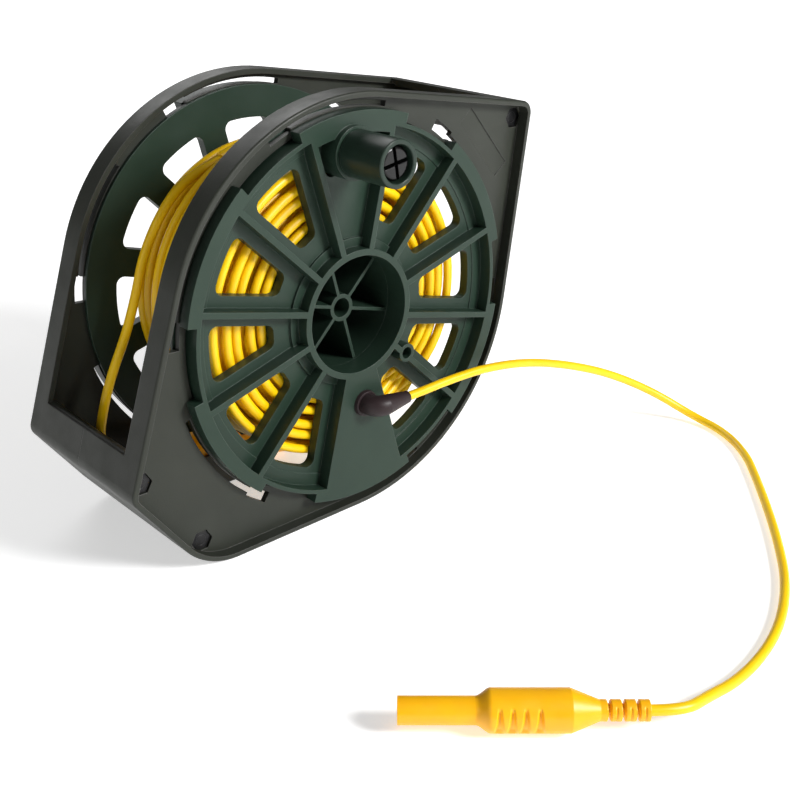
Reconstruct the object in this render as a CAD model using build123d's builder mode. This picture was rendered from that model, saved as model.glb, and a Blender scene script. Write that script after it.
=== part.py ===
"""Hand-cranked storage reel for a long test lead.

Two side plates with tangent-cornered outlines are screwed together and stand the reel upright.
A flanged spool turns in the round openings of the plates, cranked by a knob that spins on its own post.
The wound lead comes out through the front flange as a short fly lead with a safety plug, and its other
end leaves the winding between the plates and is parked in a cradle.

Millimetres. +X is to the right seen from the crank side, +Y points away from the crank along the spool
axis, and +Z is up. The origin is on the floor, under the middle of the reel without its lead.
"""
import os
from math import cos, sin, tan, radians, pi

from build123d import *

os.makedirs("parts", exist_ok=True)

# Driving dimensions: overall
REEL_WIDTH = 74.6            # face to face over the spool flanges
PLATE_REACH = 77.9           # spool axis to the floor, and the plates' round stretches
KNOB_REACH = 23.0            # crank knob in front of the flange face

# Side plates
EDGE_NORMALS_NOSE = (-8.1, 81.0)     # straight edges that meet at the upper right corner
EDGE_NORMALS_TAIL = (161.6, 270.0)   # straight edges towards the lower left, one is the foot
TAIL_NORMAL = 215.8                  # short edge that cuts the lower left corner
TAIL_REACH = 102.0
NOSE_ROUND = 5.0
TAIL_ROUND = 5.0
FOOT_ROUND = 26.0
RIM_WALL = 2.0
RIM_FRONT = 0.75             # depths are counted from the spool's face
WEB_FRONT = 5.4
WEB_BACK = 7.8
RIM_BACK = 10.4
RIM_EDGE_ROUND = 0.8
OPENING_R = 69.2             # the spool runs in this opening
SLOT_INNER, SLOT_OUTER = 72.6, 74.5
NOTCH_INNER, NOTCH_OUTER = 71.5, 75.7
SLOT_START, NOTCH_START, SLOT_END = 17.0, 49.5, 57.0
CROSS_WALL = 3.0
TAIL_WALL_FROM = 91.2        # the cross walls fill the corners beyond these distances
NOSE_WALL_FROM = 98.0
BEAD_R = 2.4
LABEL_SIZE = (30.0, 7.5)
LABEL_AT = (66.0, 51.5)
LABEL_TILT = -49.0
LABEL_DEPTH = 0.4

# Frame screws: M4, nuts in the front plate
SCREW_SPOTS = ((-89.5, -38.5), (-68.3, -68.5), (82.0, 59.0))
BOSS_R = 5.6
SCREW_R = 2.0
SCREW_HOLE_R = 2.2
NUT_FLATS = 7.0
NUT_HEIGHT = 3.2
NUT_SINK = 4.0               # depth of the nut pocket and of the screw head's recess
HEAD_R = 3.5
HEAD_HEIGHT = 2.6
HEAD_RECESS_R = 3.8
HEAD_ROUND = 0.9
HEAD_SLOT = (4.4, 0.9, 1.5)          # length, width and depth of one arm of the cross slot
NUT_PLAY = 0.15

# Spool flanges
LUG_R = 72.0
LUG_BACK = 5.0
LUG_START, LUG_END = 11.7, 50.1      # repeats every 60 degrees
BARREL_R = 68.5
BAND_INNER = 67.0
STEP_R = 62.4
STEP_HEIGHT = 0.4
FLOOR_FRONT = 5.6
FLOOR_BACK = 8.2
DISC_R = 72.2
DISC_BACK = 9.6
RIB_WIDTH = 2.2
RIB_PHASE_FRONT = 16.5
RIB_PHASE_BACK = 14.5
SPOKE_HALF = 5.1
WINDOW_INNER, WINDOW_OUTER = 34.0, 60.2
WINDOW_ROUND = 3.0
HUB_RING_R = 24.1
HUB_BORE_R = 21.8
HUB_STEP_R = 27.4
HUB_STEP_HEIGHT = 1.0
SECTORS = 12
HALF_SECTOR = 180 / SECTORS
KNOB_SECTOR, LEAD_SECTOR = 91.5, 271.5   # the two sectors of the front flange without a window
KNOB_POCKET = (50.5, 62.4)
KNOB_BAND_R = 64.6
LEAD_PLATE = 2.4

# Drum between the flanges
DRUM_R = 33.6
DRUM_WALL = 2.2
CORE_FRONT = 10.35
CORE_R = 5.13
CORE_BORE_R = 3.6
CORE_RIB = 1.2
CORE_RIB_PHASE = 45.0
RIB_ROOT = 1.0                       # how far a rib runs into the walls that it joins
DRUM_RIB = 1.6
DRUM_SCREW_REACH = 31.0              # from the spool axis
DRUM_SCREW_TURN = 301.5              # beyond the flange's first rib
DRUM_SCREW_BOSS_R = 3.6
DRUM_COLUMN_R = 2.5
DRUM_COLUMN_LENGTH = 20.0
DRUM_SCREW_HOLE_R = 2.3
DRUM_SCREW_R = 1.4
DRUM_SCREW_LENGTH = 14.0
DRUM_HEAD_R = 2.2
DRUM_HEAD_HEIGHT = 2.0
DRUM_SCREW_SLOT = (3.0, 0.7, 1.0)     # length, width and depth of one arm of the cross slot
DRUM_SCREW_PLAY = 0.1

# Crank knob
KNOB_AT = (92.6, 58.6)               # angle and radius about the spool axis
KNOB_R = 8.1
KNOB_BOSS_R = 9.2
KNOB_BOSS_FRONT = -2.4
KNOB_SLEEVE_BACK = -2.8
KNOB_BORE_R = 4.5
KNOB_RECESS_R = 6.3
KNOB_RECESS_DEPTH = 4.8
POST_R = 4.42
POST_HEAD_R = 5.8
POST_SLIT = 1.3
POST_TIP = -21.6
POST_SLIT_TURN = 10.0
POST_TIP_ROUND = 1.2
POST_HEAD_PLAY = 0.2
SLEEVE_ROUND = 0.5

# Lead: outside diameter, and the wound part
LEAD_D = 3.4
ARC_SHARE = 0.45              # of the shorter run, on each side of a bend
WOUND_OUTER_FRONT = 52.5
WOUND_OUTER_BACK = 56.2

# Strain relief on the front flange
GLAND_AT = (2.0, -35.0)
GLAND_R = 5.1
GLAND_HEIGHT = 1.5
GLAND_NECK_R = 3.3
GLAND_BORE_R = 2.7
GLAND_TAPER = 12.0
GLAND_BACK = LEAD_PLATE + 1.0
RELIEF_OUT = 6.5             # height of the bent sleeve's middle in front of the face
RELIEF_BEND = 4.5
RELIEF_R = 3.9
RELIEF_TIP_R = 2.3
RELIEF_END_X = 17.5

# Safety plug, counted from the end of its boot
PLUG_LENGTH = 71.4
BOOT_R = 3.1
BOOT_NECK_R = 1.95
BOOT_PITCH = 4.2
BOOT_RING = 2.7
COLLAR_FROM, COLLAR_TO, COLLAR_R = 12.6, 14.1, 3.6
GRIP_R = 6.35
GRIP_FROM, GRIP_TO = 22.5, 45.2
GROOVE_OFFSETS = (2.3, 5.9, 9.6, 13.6)   # from the grip's front end
GROOVE_WIDTH = 1.5
GROOVE_DEPTH = 0.7
SHROUD_R = 4.1
SHROUD_BORE_R = 3.1
SHROUD_FROM = 49.4
PIN_R = 1.3
PIN_FROM = 40.0
PIN_TO = 69.0
CAGE_R = 1.95
CAGE_FROM, CAGE_TO = 54.0, 66.0
CAGE_SLOPE = 2.0
PIN_CHAMFER = 0.7

# Where the two plugs lie, about the middle of the spool's face: end of the boot and direction
PLUG_START = (-21.5, -150.7, -71.0)
PLUG_HEADING = (-0.747, 0.665, 0.0)
TAIL_DEPTH = 50.0
PARKED_DEPTH = 56.0
PARKED_START = (-64.0, PARKED_DEPTH, -55.0)
PARKED_HEADING = (0.966, 0.0, -0.259)

# Routes of the lead, about the middle of the spool's face. The root turns with the spool, inside the
# knob's circle, and the fly lead beyond it lies still; they meet on one straight run.
ROOT_LEAD = [
    (17.8, -6.5, -35.0),
    (26.0, -6.5, -35.0),
    (38.0, -7.0, -34.2),
    (57.0, -8.5, -33.8),
    (67.2, -9.387, -35.13),
]
FLY_LEAD = [
    (67.5, -9.413, -35.17),
    (80.0, -10.5, -36.8),
    (104.0, -14.0, -43.8),
    (127.0, -19.0, -53.0),
    (147.0, -28.0, -64.5),
    (159.0, -41.0, -75.0),
    (158.0, -58.0, -76.2),
    (147.0, -76.0, -76.2),
    (130.0, -92.0, -76.2),
    (112.0, -108.0, -76.2),
    (94.0, -123.0, -76.2),
    (74.0, -138.0, -76.2),
    (53.0, -149.0, -76.2),
    (33.0, -155.0, -76.2),
    (14.0, -157.0, -76.0),
    (-1.5, -156.6, -73.6),
    (-14.0, -157.4, -71.0),
    PLUG_START,
]
TAIL_LEAD = [
    (-31.3, TAIL_DEPTH, 50.0),
    (-45.8, TAIL_DEPTH, 38.6),
    (-56.0, TAIL_DEPTH, 23.0),
    (-60.5, TAIL_DEPTH, 8.5),
    (-66.0, TAIL_DEPTH, -5.5),
    (-73.0, TAIL_DEPTH, -18.5),
    (-77.6, 50.3, -31.0),
    (-79.3, 52.0, -42.0),
    (-74.6, PARKED_DEPTH, -52.158),
    PARKED_START,
]

# Cradle that holds the parked plug
CRADLE_X = (-41.0, -22.0)
CRADLE_HALF = 7.8
CRADLE_TOP = -63.0
CRADLE_FOOT = -77.4
TONGUE_TOP = -75.2
CRADLE_PLAY = 0.05
CRADLE_BORE_R = GRIP_R + CRADLE_PLAY


def polar(angle, radius):
    """Point at an angle and a radius about the spool axis."""
    return (radius * cos(radians(angle)), radius * sin(radians(angle)))


def meet(normal_a, reach_a, normal_b, reach_b):
    """Where two straight edges meet, each given by its normal's angle and its distance."""
    a, b = radians(normal_a), radians(normal_b)
    spread = sin(b - a)
    x = (reach_a * sin(b) - reach_b * sin(a)) / spread
    z = (reach_b * cos(a) - reach_a * cos(b)) / spread
    return (x, z)


def turned_about_axis(angle):
    """Location of something turned about the spool axis."""
    return Location((0, 0, 0), (0, 0, angle))


def ring_sector(inner, outer, start, end):
    """Sketch of one sector of a ring about the spool axis."""
    with BuildSketch() as sector:
        with BuildLine():
            CenterArc((0, 0), outer, start, end - start)
            Line(polar(end, outer), polar(end, inner))
            CenterArc((0, 0), inner, start, end - start)
            Line(polar(start, inner), polar(start, outer))
        make_face()
    return sector.sketch


def ring(inner, outer):
    """Sketch of a ring about the spool axis."""
    with BuildSketch() as annulus:
        Circle(outer)
        Circle(inner, mode=Mode.SUBTRACT)
    return annulus.sketch


# Outline of the side plates, drawn about the spool axis
nose_corner = meet(EDGE_NORMALS_NOSE[0], PLATE_REACH, EDGE_NORMALS_NOSE[1], PLATE_REACH)
tail_corner = meet(EDGE_NORMALS_TAIL[0], PLATE_REACH, TAIL_NORMAL, TAIL_REACH)
foot_corner = meet(TAIL_NORMAL, TAIL_REACH, EDGE_NORMALS_TAIL[1], PLATE_REACH)

with BuildSketch() as outline:
    Circle(PLATE_REACH)
    with BuildLine():
        Polyline(
            (0, 0),
            polar(EDGE_NORMALS_NOSE[0], PLATE_REACH),
            nose_corner,
            polar(EDGE_NORMALS_NOSE[1], PLATE_REACH),
            close=True,
        )
    make_face()
    with BuildLine():
        Polyline(
            (0, 0),
            polar(EDGE_NORMALS_TAIL[0], PLATE_REACH),
            tail_corner,
            foot_corner,
            polar(EDGE_NORMALS_TAIL[1], PLATE_REACH),
            close=True,
        )
    make_face()
    for corner, radius in ((nose_corner, NOSE_ROUND), (tail_corner, TAIL_ROUND), (foot_corner, FOOT_ROUND)):
        fillet(outline.vertices().sort_by_distance(corner)[0], radius=radius)

with BuildSketch() as rim_inside:
    add(outline.sketch)
    offset(amount=-RIM_WALL, mode=Mode.REPLACE)

with BuildSketch() as wall_inside:
    add(outline.sketch)
    offset(amount=-CROSS_WALL, mode=Mode.REPLACE)

# The spool axis stands where the plates' outline is centred and the whole reel is centred in depth
outline_box = outline.sketch.bounding_box()
SPOOL_X = -(outline_box.min.X + outline_box.max.X) / 2
FACE_Y = -(REEL_WIDTH - KNOB_REACH) / 2
SPOOL_Z = PLATE_REACH
print("spool axis at", round(SPOOL_X, 3), FACE_Y, SPOOL_Z)


def place(x, depth, z):
    """Point in the part's frame from one about the middle of the spool's face."""
    return (SPOOL_X + x, FACE_Y + depth, SPOOL_Z + z)


def drum_screw_spot(back):
    """Where the flange is screwed to the drum, about the spool axis."""
    rib_phase = RIB_PHASE_BACK if back else RIB_PHASE_FRONT
    return polar(rib_phase + DRUM_SCREW_TURN, DRUM_SCREW_REACH)


def layer(near, far, back=False):
    """Plane for a layer between two depths, seen from the crank side; extrude by far - near.

    With back=True the layer is mirrored to the far side of the reel.
    """
    depth = REEL_WIDTH - near if back else far
    return Plane(place(0, depth, 0), x_dir=(1, 0, 0), z_dir=(0, -1, 0))


def beyond(normal, reach):
    """Sketch of the half plane further out than reach along a normal."""
    span = 4 * PLATE_REACH
    with BuildSketch() as half:
        with Locations(turned_about_axis(normal)):
            with Locations((reach + span / 2, 0)):
                Rectangle(span, span)
    return half.sketch


def cross_wall_outline(normal, reach):
    """Sketch of the wall that follows the plates' outline round one corner."""
    with BuildSketch() as wall:
        add(outline.sketch)
        add(wall_inside.sketch, mode=Mode.SUBTRACT)
        add(beyond(normal, reach), mode=Mode.INTERSECT)
    return wall.sketch


def side_plate(back):
    """Side plate with its rim, slots, screw bosses and half of each cross wall."""
    middle = REEL_WIDTH / 2
    with BuildPart() as plate:
        with BuildSketch(layer(RIM_FRONT, RIM_BACK, back)):
            add(outline.sketch)
            add(rim_inside.sketch, mode=Mode.SUBTRACT)
        extrude(amount=RIM_BACK - RIM_FRONT)
        rim_face = plate.faces().sort_by(Axis.Y)[-1 if back else 0]
        fillet(rim_face.outer_wire().edges(), radius=RIM_EDGE_ROUND)
        with BuildSketch(layer(WEB_FRONT, WEB_BACK, back)):
            add(rim_inside.sketch)
            Circle(OPENING_R, mode=Mode.SUBTRACT)
            for turn in range(0, 360, 60):
                with Locations(turned_about_axis(turn)):
                    add(ring_sector(SLOT_INNER, SLOT_OUTER, SLOT_START, SLOT_END), mode=Mode.SUBTRACT)
                    add(ring_sector(NOTCH_INNER, NOTCH_OUTER, NOTCH_START, SLOT_END), mode=Mode.SUBTRACT)
        extrude(amount=WEB_BACK - WEB_FRONT)
        with BuildSketch(layer(RIM_BACK, middle, back)):
            add(cross_wall_outline(TAIL_NORMAL, TAIL_WALL_FROM))
            add(cross_wall_outline(sum(EDGE_NORMALS_NOSE) / 2, NOSE_WALL_FROM))
            with Locations(bead_spot):
                Circle(BEAD_R)
        extrude(amount=middle - RIM_BACK)
        with BuildSketch(layer(WEB_FRONT, middle, back)):
            with Locations(*SCREW_SPOTS):
                Circle(BOSS_R)
            add(outline.sketch, mode=Mode.INTERSECT)
        extrude(amount=middle - WEB_FRONT)
        with BuildSketch(layer(WEB_FRONT, middle, back)):
            with Locations(*SCREW_SPOTS):
                Circle(SCREW_HOLE_R)
        extrude(amount=middle - WEB_FRONT, mode=Mode.SUBTRACT)
        with BuildSketch(layer(WEB_FRONT, WEB_FRONT + NUT_SINK, back)):
            with Locations(*SCREW_SPOTS):
                if back:
                    Circle(HEAD_RECESS_R)
                else:
                    RegularPolygon(NUT_FLATS / 2 + NUT_PLAY, 6, major_radius=False)
        extrude(amount=NUT_SINK, mode=Mode.SUBTRACT)
        if not back:
            with BuildSketch(layer(WEB_FRONT, WEB_FRONT + LABEL_DEPTH)):
                with Locations(Location((*LABEL_AT, 0), (0, 0, LABEL_TILT))):
                    Rectangle(*LABEL_SIZE)
            extrude(amount=LABEL_DEPTH, mode=Mode.SUBTRACT)
    return plate.part


# Free end of the tail cross wall, where a rounded bead stiffens it: on the inner face of the long edge
bead_spot = meet(EDGE_NORMALS_TAIL[0], PLATE_REACH - BEAD_R, TAIL_NORMAL, TAIL_WALL_FROM)

with BuildPart() as front_side_plate:
    add(side_plate(back=False))
front_side_plate.part.label = "front_side_plate"
export_step(front_side_plate.part, "parts/front_side_plate.step")

with BuildPart() as back_side_plate:
    add(side_plate(back=True))
back_side_plate.part.label = "back_side_plate"
export_step(back_side_plate.part, "parts/back_side_plate.step")

# Frame screws from the back, and their nuts in the front plate's pockets
HEAD_SEAT = REEL_WIDTH - WEB_FRONT - NUT_SINK
NUT_SEAT = WEB_FRONT + NUT_SINK
with BuildPart() as frame_screws:
    with BuildSketch(layer(NUT_SEAT - NUT_HEIGHT, HEAD_SEAT)):
        with Locations(*SCREW_SPOTS):
            Circle(SCREW_R)
    extrude(amount=HEAD_SEAT - NUT_SEAT + NUT_HEIGHT)
    with BuildSketch(layer(HEAD_SEAT, HEAD_SEAT + HEAD_HEIGHT)):
        with Locations(*SCREW_SPOTS):
            Circle(HEAD_R)
    extrude(amount=HEAD_HEIGHT)
    head_rims = frame_screws.faces().sort_by(Axis.Y)[-len(SCREW_SPOTS):].edges()
    fillet(head_rims, radius=HEAD_ROUND)
    slot_length, slot_width, slot_depth = HEAD_SLOT
    with BuildSketch(layer(HEAD_SEAT + HEAD_HEIGHT - slot_depth, HEAD_SEAT + HEAD_HEIGHT)):
        with Locations(*SCREW_SPOTS):
            Rectangle(slot_length, slot_width)
            Rectangle(slot_width, slot_length)
    extrude(amount=slot_depth, mode=Mode.SUBTRACT)
frame_screws.part.label = "frame_screws"
export_step(frame_screws.part, "parts/frame_screws.step")

with BuildPart() as frame_nuts:
    with BuildSketch(layer(NUT_SEAT - NUT_HEIGHT, NUT_SEAT)):
        with Locations(*SCREW_SPOTS):
            RegularPolygon(NUT_FLATS / 2, 6, major_radius=False)
            Circle(SCREW_R, mode=Mode.SUBTRACT)
    extrude(amount=NUT_HEIGHT)
frame_nuts.part.label = "frame_nuts"
export_step(frame_nuts.part, "parts/frame_nuts.step")


# Spool flanges
def window_outline(inner, outer, radius):
    """Sketch of the opening between two spokes, centred on the X axis."""
    with BuildSketch() as window:
        add(ring_sector(inner, outer, -HALF_SECTOR, HALF_SECTOR))
        for side in (-HALF_SECTOR, HALF_SECTOR):
            with Locations(turned_about_axis(side)):
                Rectangle(3 * outer, 2 * SPOKE_HALF, mode=Mode.SUBTRACT)
        fillet(window.vertices(), radius=radius)
    return window.sketch


def flange(back, plain_sectors):
    """Flange with its bearing band, lugs, ribs, hub ring and windows.

    plain_sectors are the angles of the sectors that are left without the usual window.
    """
    rib_phase = RIB_PHASE_BACK if back else RIB_PHASE_FRONT
    screw_spot = drum_screw_spot(back)
    with BuildPart() as disc:
        with BuildSketch(layer(FLOOR_FRONT, FLOOR_BACK, back)):
            Circle(BARREL_R)
        extrude(amount=FLOOR_BACK - FLOOR_FRONT)
        with BuildSketch(layer(FLOOR_BACK, DISC_BACK, back)):
            Circle(DISC_R)
        extrude(amount=DISC_BACK - FLOOR_BACK)
        with BuildSketch(layer(FLOOR_FRONT - STEP_HEIGHT, FLOOR_FRONT, back)):
            add(ring(STEP_R, BAND_INNER))
        extrude(amount=STEP_HEIGHT)
        with BuildSketch(layer(FLOOR_FRONT - HUB_STEP_HEIGHT, FLOOR_FRONT, back)):
            add(ring(HUB_RING_R, HUB_STEP_R))
        extrude(amount=HUB_STEP_HEIGHT)
        window = window_outline(WINDOW_INNER, WINDOW_OUTER, WINDOW_ROUND)
        with BuildSketch(layer(FLOOR_FRONT, DISC_BACK, back)):
            for number in range(SECTORS):
                angle = (rib_phase + HALF_SECTOR * (1 + 2 * number)) % 360
                if angle not in plain_sectors:
                    with Locations(turned_about_axis(angle)):
                        add(window)
        extrude(amount=DISC_BACK - FLOOR_FRONT, mode=Mode.SUBTRACT)
        with BuildSketch(layer(0, FLOOR_FRONT, back)):
            add(ring(BAND_INNER, BARREL_R))
            for number in range(SECTORS):
                with Locations(turned_about_axis(rib_phase + 2 * HALF_SECTOR * number)):
                    with Locations(((HUB_RING_R + BAND_INNER) / 2, 0)):
                        Rectangle(BAND_INNER - HUB_RING_R + RIB_ROOT, RIB_WIDTH)
        extrude(amount=FLOOR_FRONT)
        with BuildSketch(layer(0, LUG_BACK, back)):
            for turn in range(0, 360, 60):
                with Locations(turned_about_axis(turn)):
                    add(ring_sector(BARREL_R - RIB_ROOT, LUG_R, LUG_START, LUG_END))
        extrude(amount=LUG_BACK)
        with BuildSketch(layer(0, DISC_BACK, back)):
            add(ring(HUB_BORE_R, HUB_RING_R))
        extrude(amount=DISC_BACK)
        with BuildSketch(layer(0, DISC_BACK, back)):
            Circle(HUB_BORE_R)
        extrude(amount=DISC_BACK, mode=Mode.SUBTRACT)
        with BuildSketch(layer(0, DISC_BACK, back)):
            with Locations(screw_spot):
                Circle(DRUM_SCREW_BOSS_R)
        extrude(amount=DISC_BACK)
        with BuildSketch(layer(0, DISC_BACK, back)):
            with Locations(screw_spot):
                Circle(DRUM_SCREW_HOLE_R)
        extrude(amount=DISC_BACK, mode=Mode.SUBTRACT)
        with BuildSketch(layer(FLOOR_BACK, DISC_BACK, back)):
            with Locations(screw_spot):
                Circle((DRUM_SCREW_HOLE_R + DRUM_SCREW_BOSS_R) / 2)
                Circle(DRUM_SCREW_R + DRUM_SCREW_PLAY, mode=Mode.SUBTRACT)
        extrude(amount=DISC_BACK - FLOOR_BACK)
    return disc.part


with BuildPart() as front_flange:
    add(flange(False, (KNOB_SECTOR, LEAD_SECTOR)))
    # Knob sector: a band along the rim, a pocket round the knob's boss, and the boss
    with BuildSketch(layer(0, FLOOR_FRONT)):
        add(ring_sector(KNOB_BAND_R, BAND_INNER, KNOB_SECTOR - HALF_SECTOR, KNOB_SECTOR + HALF_SECTOR))
    extrude(amount=FLOOR_FRONT)
    with BuildSketch(layer(FLOOR_FRONT - STEP_HEIGHT, DISC_BACK)):
        with Locations(turned_about_axis(KNOB_SECTOR)):
            add(window_outline(*KNOB_POCKET, WINDOW_ROUND))
    extrude(amount=DISC_BACK - FLOOR_FRONT + STEP_HEIGHT, mode=Mode.SUBTRACT)
    with BuildSketch(layer(KNOB_BOSS_FRONT, DISC_BACK)):
        with Locations(polar(*KNOB_AT)):
            Circle(KNOB_BOSS_R)
    extrude(amount=DISC_BACK - KNOB_BOSS_FRONT)
    with BuildSketch(layer(KNOB_BOSS_FRONT, FLOOR_BACK)):
        with Locations(polar(*KNOB_AT)):
            Circle(POST_R)
    extrude(amount=FLOOR_BACK - KNOB_BOSS_FRONT, mode=Mode.SUBTRACT)
    # Lead sector: a plate flush with the ribs, hollow behind
    with BuildSketch(layer(LEAD_PLATE, DISC_BACK)):
        with Locations(turned_about_axis(LEAD_SECTOR)):
            add(window_outline(WINDOW_INNER, WINDOW_OUTER, WINDOW_ROUND))
    extrude(amount=DISC_BACK - LEAD_PLATE, mode=Mode.SUBTRACT)
    with BuildSketch(layer(0, LEAD_PLATE)):
        add(ring_sector(HUB_RING_R, BAND_INNER, LEAD_SECTOR - HALF_SECTOR, LEAD_SECTOR + HALF_SECTOR))
    extrude(amount=LEAD_PLATE)
    with BuildSketch(layer(0, LEAD_PLATE)):
        with Locations(GLAND_AT):
            Circle(GLAND_NECK_R)
    extrude(amount=LEAD_PLATE, mode=Mode.SUBTRACT)
front_flange.part.label = "front_flange"
export_step(front_flange.part, "parts/front_flange.step")

with BuildPart() as back_flange:
    add(flange(True, ()))
back_flange.part.label = "back_flange"
export_step(back_flange.part, "parts/back_flange.step")

# Drum between the flanges: the barrel that the lead is wound on, with its screw columns, a webbed tube
# inside it, and a ribbed core
DRUM_FRONT, DRUM_BACK = DISC_BACK, REEL_WIDTH - DISC_BACK
CORE_BACK = REEL_WIDTH - CORE_FRONT
BARREL_BORE_R = DRUM_R - DRUM_WALL
with BuildPart() as hub_drum:
    with BuildSketch(layer(DRUM_FRONT, DRUM_BACK)):
        add(ring(BARREL_BORE_R, DRUM_R))
    extrude(amount=DRUM_BACK - DRUM_FRONT)
    for back in (False, True):
        with BuildSketch(layer(DISC_BACK, DISC_BACK + DRUM_COLUMN_LENGTH, back)):
            with Locations(drum_screw_spot(back)):
                Circle(DRUM_COLUMN_R)
        extrude(amount=DRUM_COLUMN_LENGTH)
        with BuildSketch(layer(DISC_BACK, DISC_BACK + DRUM_COLUMN_LENGTH, back)):
            with Locations(drum_screw_spot(back)):
                Circle(DRUM_SCREW_R)
        extrude(amount=DRUM_COLUMN_LENGTH, mode=Mode.SUBTRACT)
hub_drum.part.label = "hub_drum"
export_step(hub_drum.part, "parts/hub_drum.step")

with BuildPart() as hub_sleeve:
    with BuildSketch(layer(DRUM_FRONT, DRUM_BACK)):
        add(ring(HUB_BORE_R, HUB_RING_R))
        for number in range(6):
            with Locations(turned_about_axis(CORE_RIB_PHASE + 60 * number)):
                with Locations(((HUB_RING_R + BARREL_BORE_R) / 2, 0)):
                    Rectangle(BARREL_BORE_R - HUB_RING_R + RIB_ROOT, DRUM_RIB)
        add(ring(BARREL_BORE_R, DRUM_R), mode=Mode.SUBTRACT)
    extrude(amount=DRUM_BACK - DRUM_FRONT)
hub_sleeve.part.label = "hub_sleeve"
export_step(hub_sleeve.part, "parts/hub_sleeve.step")

with BuildPart() as hub_core:
    with BuildSketch(layer(CORE_FRONT, CORE_BACK)):
        Circle(CORE_R)
        for number in range(6):
            with Locations(turned_about_axis(CORE_RIB_PHASE + 60 * number)):
                with Locations(((CORE_BORE_R + HUB_BORE_R) / 2, 0)):
                    Rectangle(HUB_BORE_R - CORE_BORE_R, CORE_RIB)
        Circle(CORE_BORE_R, mode=Mode.SUBTRACT)
        Circle(HUB_BORE_R, mode=Mode.INTERSECT)
    extrude(amount=CORE_BACK - CORE_FRONT)
hub_core.part.label = "hub_core"
export_step(hub_core.part, "parts/hub_core.step")

with BuildPart() as flange_screws:
    for back in (False, True):
        with BuildSketch(layer(FLOOR_BACK - DRUM_HEAD_HEIGHT, FLOOR_BACK, back)):
            with Locations(drum_screw_spot(back)):
                Circle(DRUM_HEAD_R)
        extrude(amount=DRUM_HEAD_HEIGHT)
        with BuildSketch(layer(FLOOR_BACK, FLOOR_BACK + DRUM_SCREW_LENGTH, back)):
            with Locations(drum_screw_spot(back)):
                Circle(DRUM_SCREW_R)
        extrude(amount=DRUM_SCREW_LENGTH)
        slot_length, slot_width, slot_depth = DRUM_SCREW_SLOT
        slot_top = FLOOR_BACK - DRUM_HEAD_HEIGHT
        with BuildSketch(layer(slot_top, slot_top + slot_depth, back)):
            with Locations(drum_screw_spot(back)):
                Rectangle(slot_length, slot_width)
                Rectangle(slot_width, slot_length)
        extrude(amount=slot_depth, mode=Mode.SUBTRACT)
flange_screws.part.label = "flange_screws"
export_step(flange_screws.part, "parts/flange_screws.step")

# Crank knob: a split snap post pressed into the flange's boss, and the sleeve that spins on it
knob_spot = polar(*KNOB_AT)
with BuildPart() as knob_post:
    with BuildSketch(layer(POST_TIP, FLOOR_BACK)):
        with Locations(knob_spot):
            Circle(POST_R)
    extrude(amount=FLOOR_BACK - POST_TIP)
    head_back = -KNOB_REACH + KNOB_RECESS_DEPTH - POST_HEAD_PLAY
    with BuildSketch(layer(POST_TIP, head_back)):
        with Locations(knob_spot):
            Circle(POST_HEAD_R)
    extrude(amount=head_back - POST_TIP)
    fillet(knob_post.faces().sort_by(Axis.Y)[0].outer_wire().edges(), radius=POST_TIP_ROUND)
    with BuildSketch(layer(POST_TIP, KNOB_SLEEVE_BACK)):
        with Locations(Location((*knob_spot, 0), (0, 0, POST_SLIT_TURN))):
            Rectangle(3 * POST_HEAD_R, POST_SLIT)
            Rectangle(POST_SLIT, 3 * POST_HEAD_R)
    extrude(amount=KNOB_SLEEVE_BACK - POST_TIP, mode=Mode.SUBTRACT)
knob_post.part.label = "knob_post"
export_step(knob_post.part, "parts/knob_post.step")

with BuildPart() as knob_sleeve:
    with BuildSketch(layer(-KNOB_REACH, KNOB_SLEEVE_BACK)):
        with Locations(knob_spot):
            Circle(KNOB_R)
            Circle(KNOB_BORE_R, mode=Mode.SUBTRACT)
    extrude(amount=KNOB_REACH + KNOB_SLEEVE_BACK)
    with BuildSketch(layer(-KNOB_REACH, -KNOB_REACH + KNOB_RECESS_DEPTH)):
        with Locations(knob_spot):
            Circle(KNOB_RECESS_R)
    extrude(amount=KNOB_RECESS_DEPTH, mode=Mode.SUBTRACT)
    fillet(knob_sleeve.faces().sort_by(Axis.Y)[0].edges(), radius=SLEEVE_ROUND)
knob_sleeve.part.label = "knob_sleeve"
export_step(knob_sleeve.part, "parts/knob_sleeve.step")

# Lead gland in the flange, and the bent sleeve that leads the fly lead out sideways
with BuildPart() as lead_gland:
    with BuildSketch(layer(-GLAND_HEIGHT, 0)):
        with Locations(GLAND_AT):
            Circle(GLAND_R)
            Circle(GLAND_BORE_R, mode=Mode.SUBTRACT)
    extrude(amount=GLAND_HEIGHT, taper=GLAND_TAPER)
    with BuildSketch(layer(0, GLAND_BACK)):
        with Locations(GLAND_AT):
            Circle(GLAND_NECK_R)
            Circle(GLAND_BORE_R, mode=Mode.SUBTRACT)
    extrude(amount=GLAND_BACK)
lead_gland.part.label = "lead_gland"
export_step(lead_gland.part, "parts/lead_gland.step")

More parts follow.
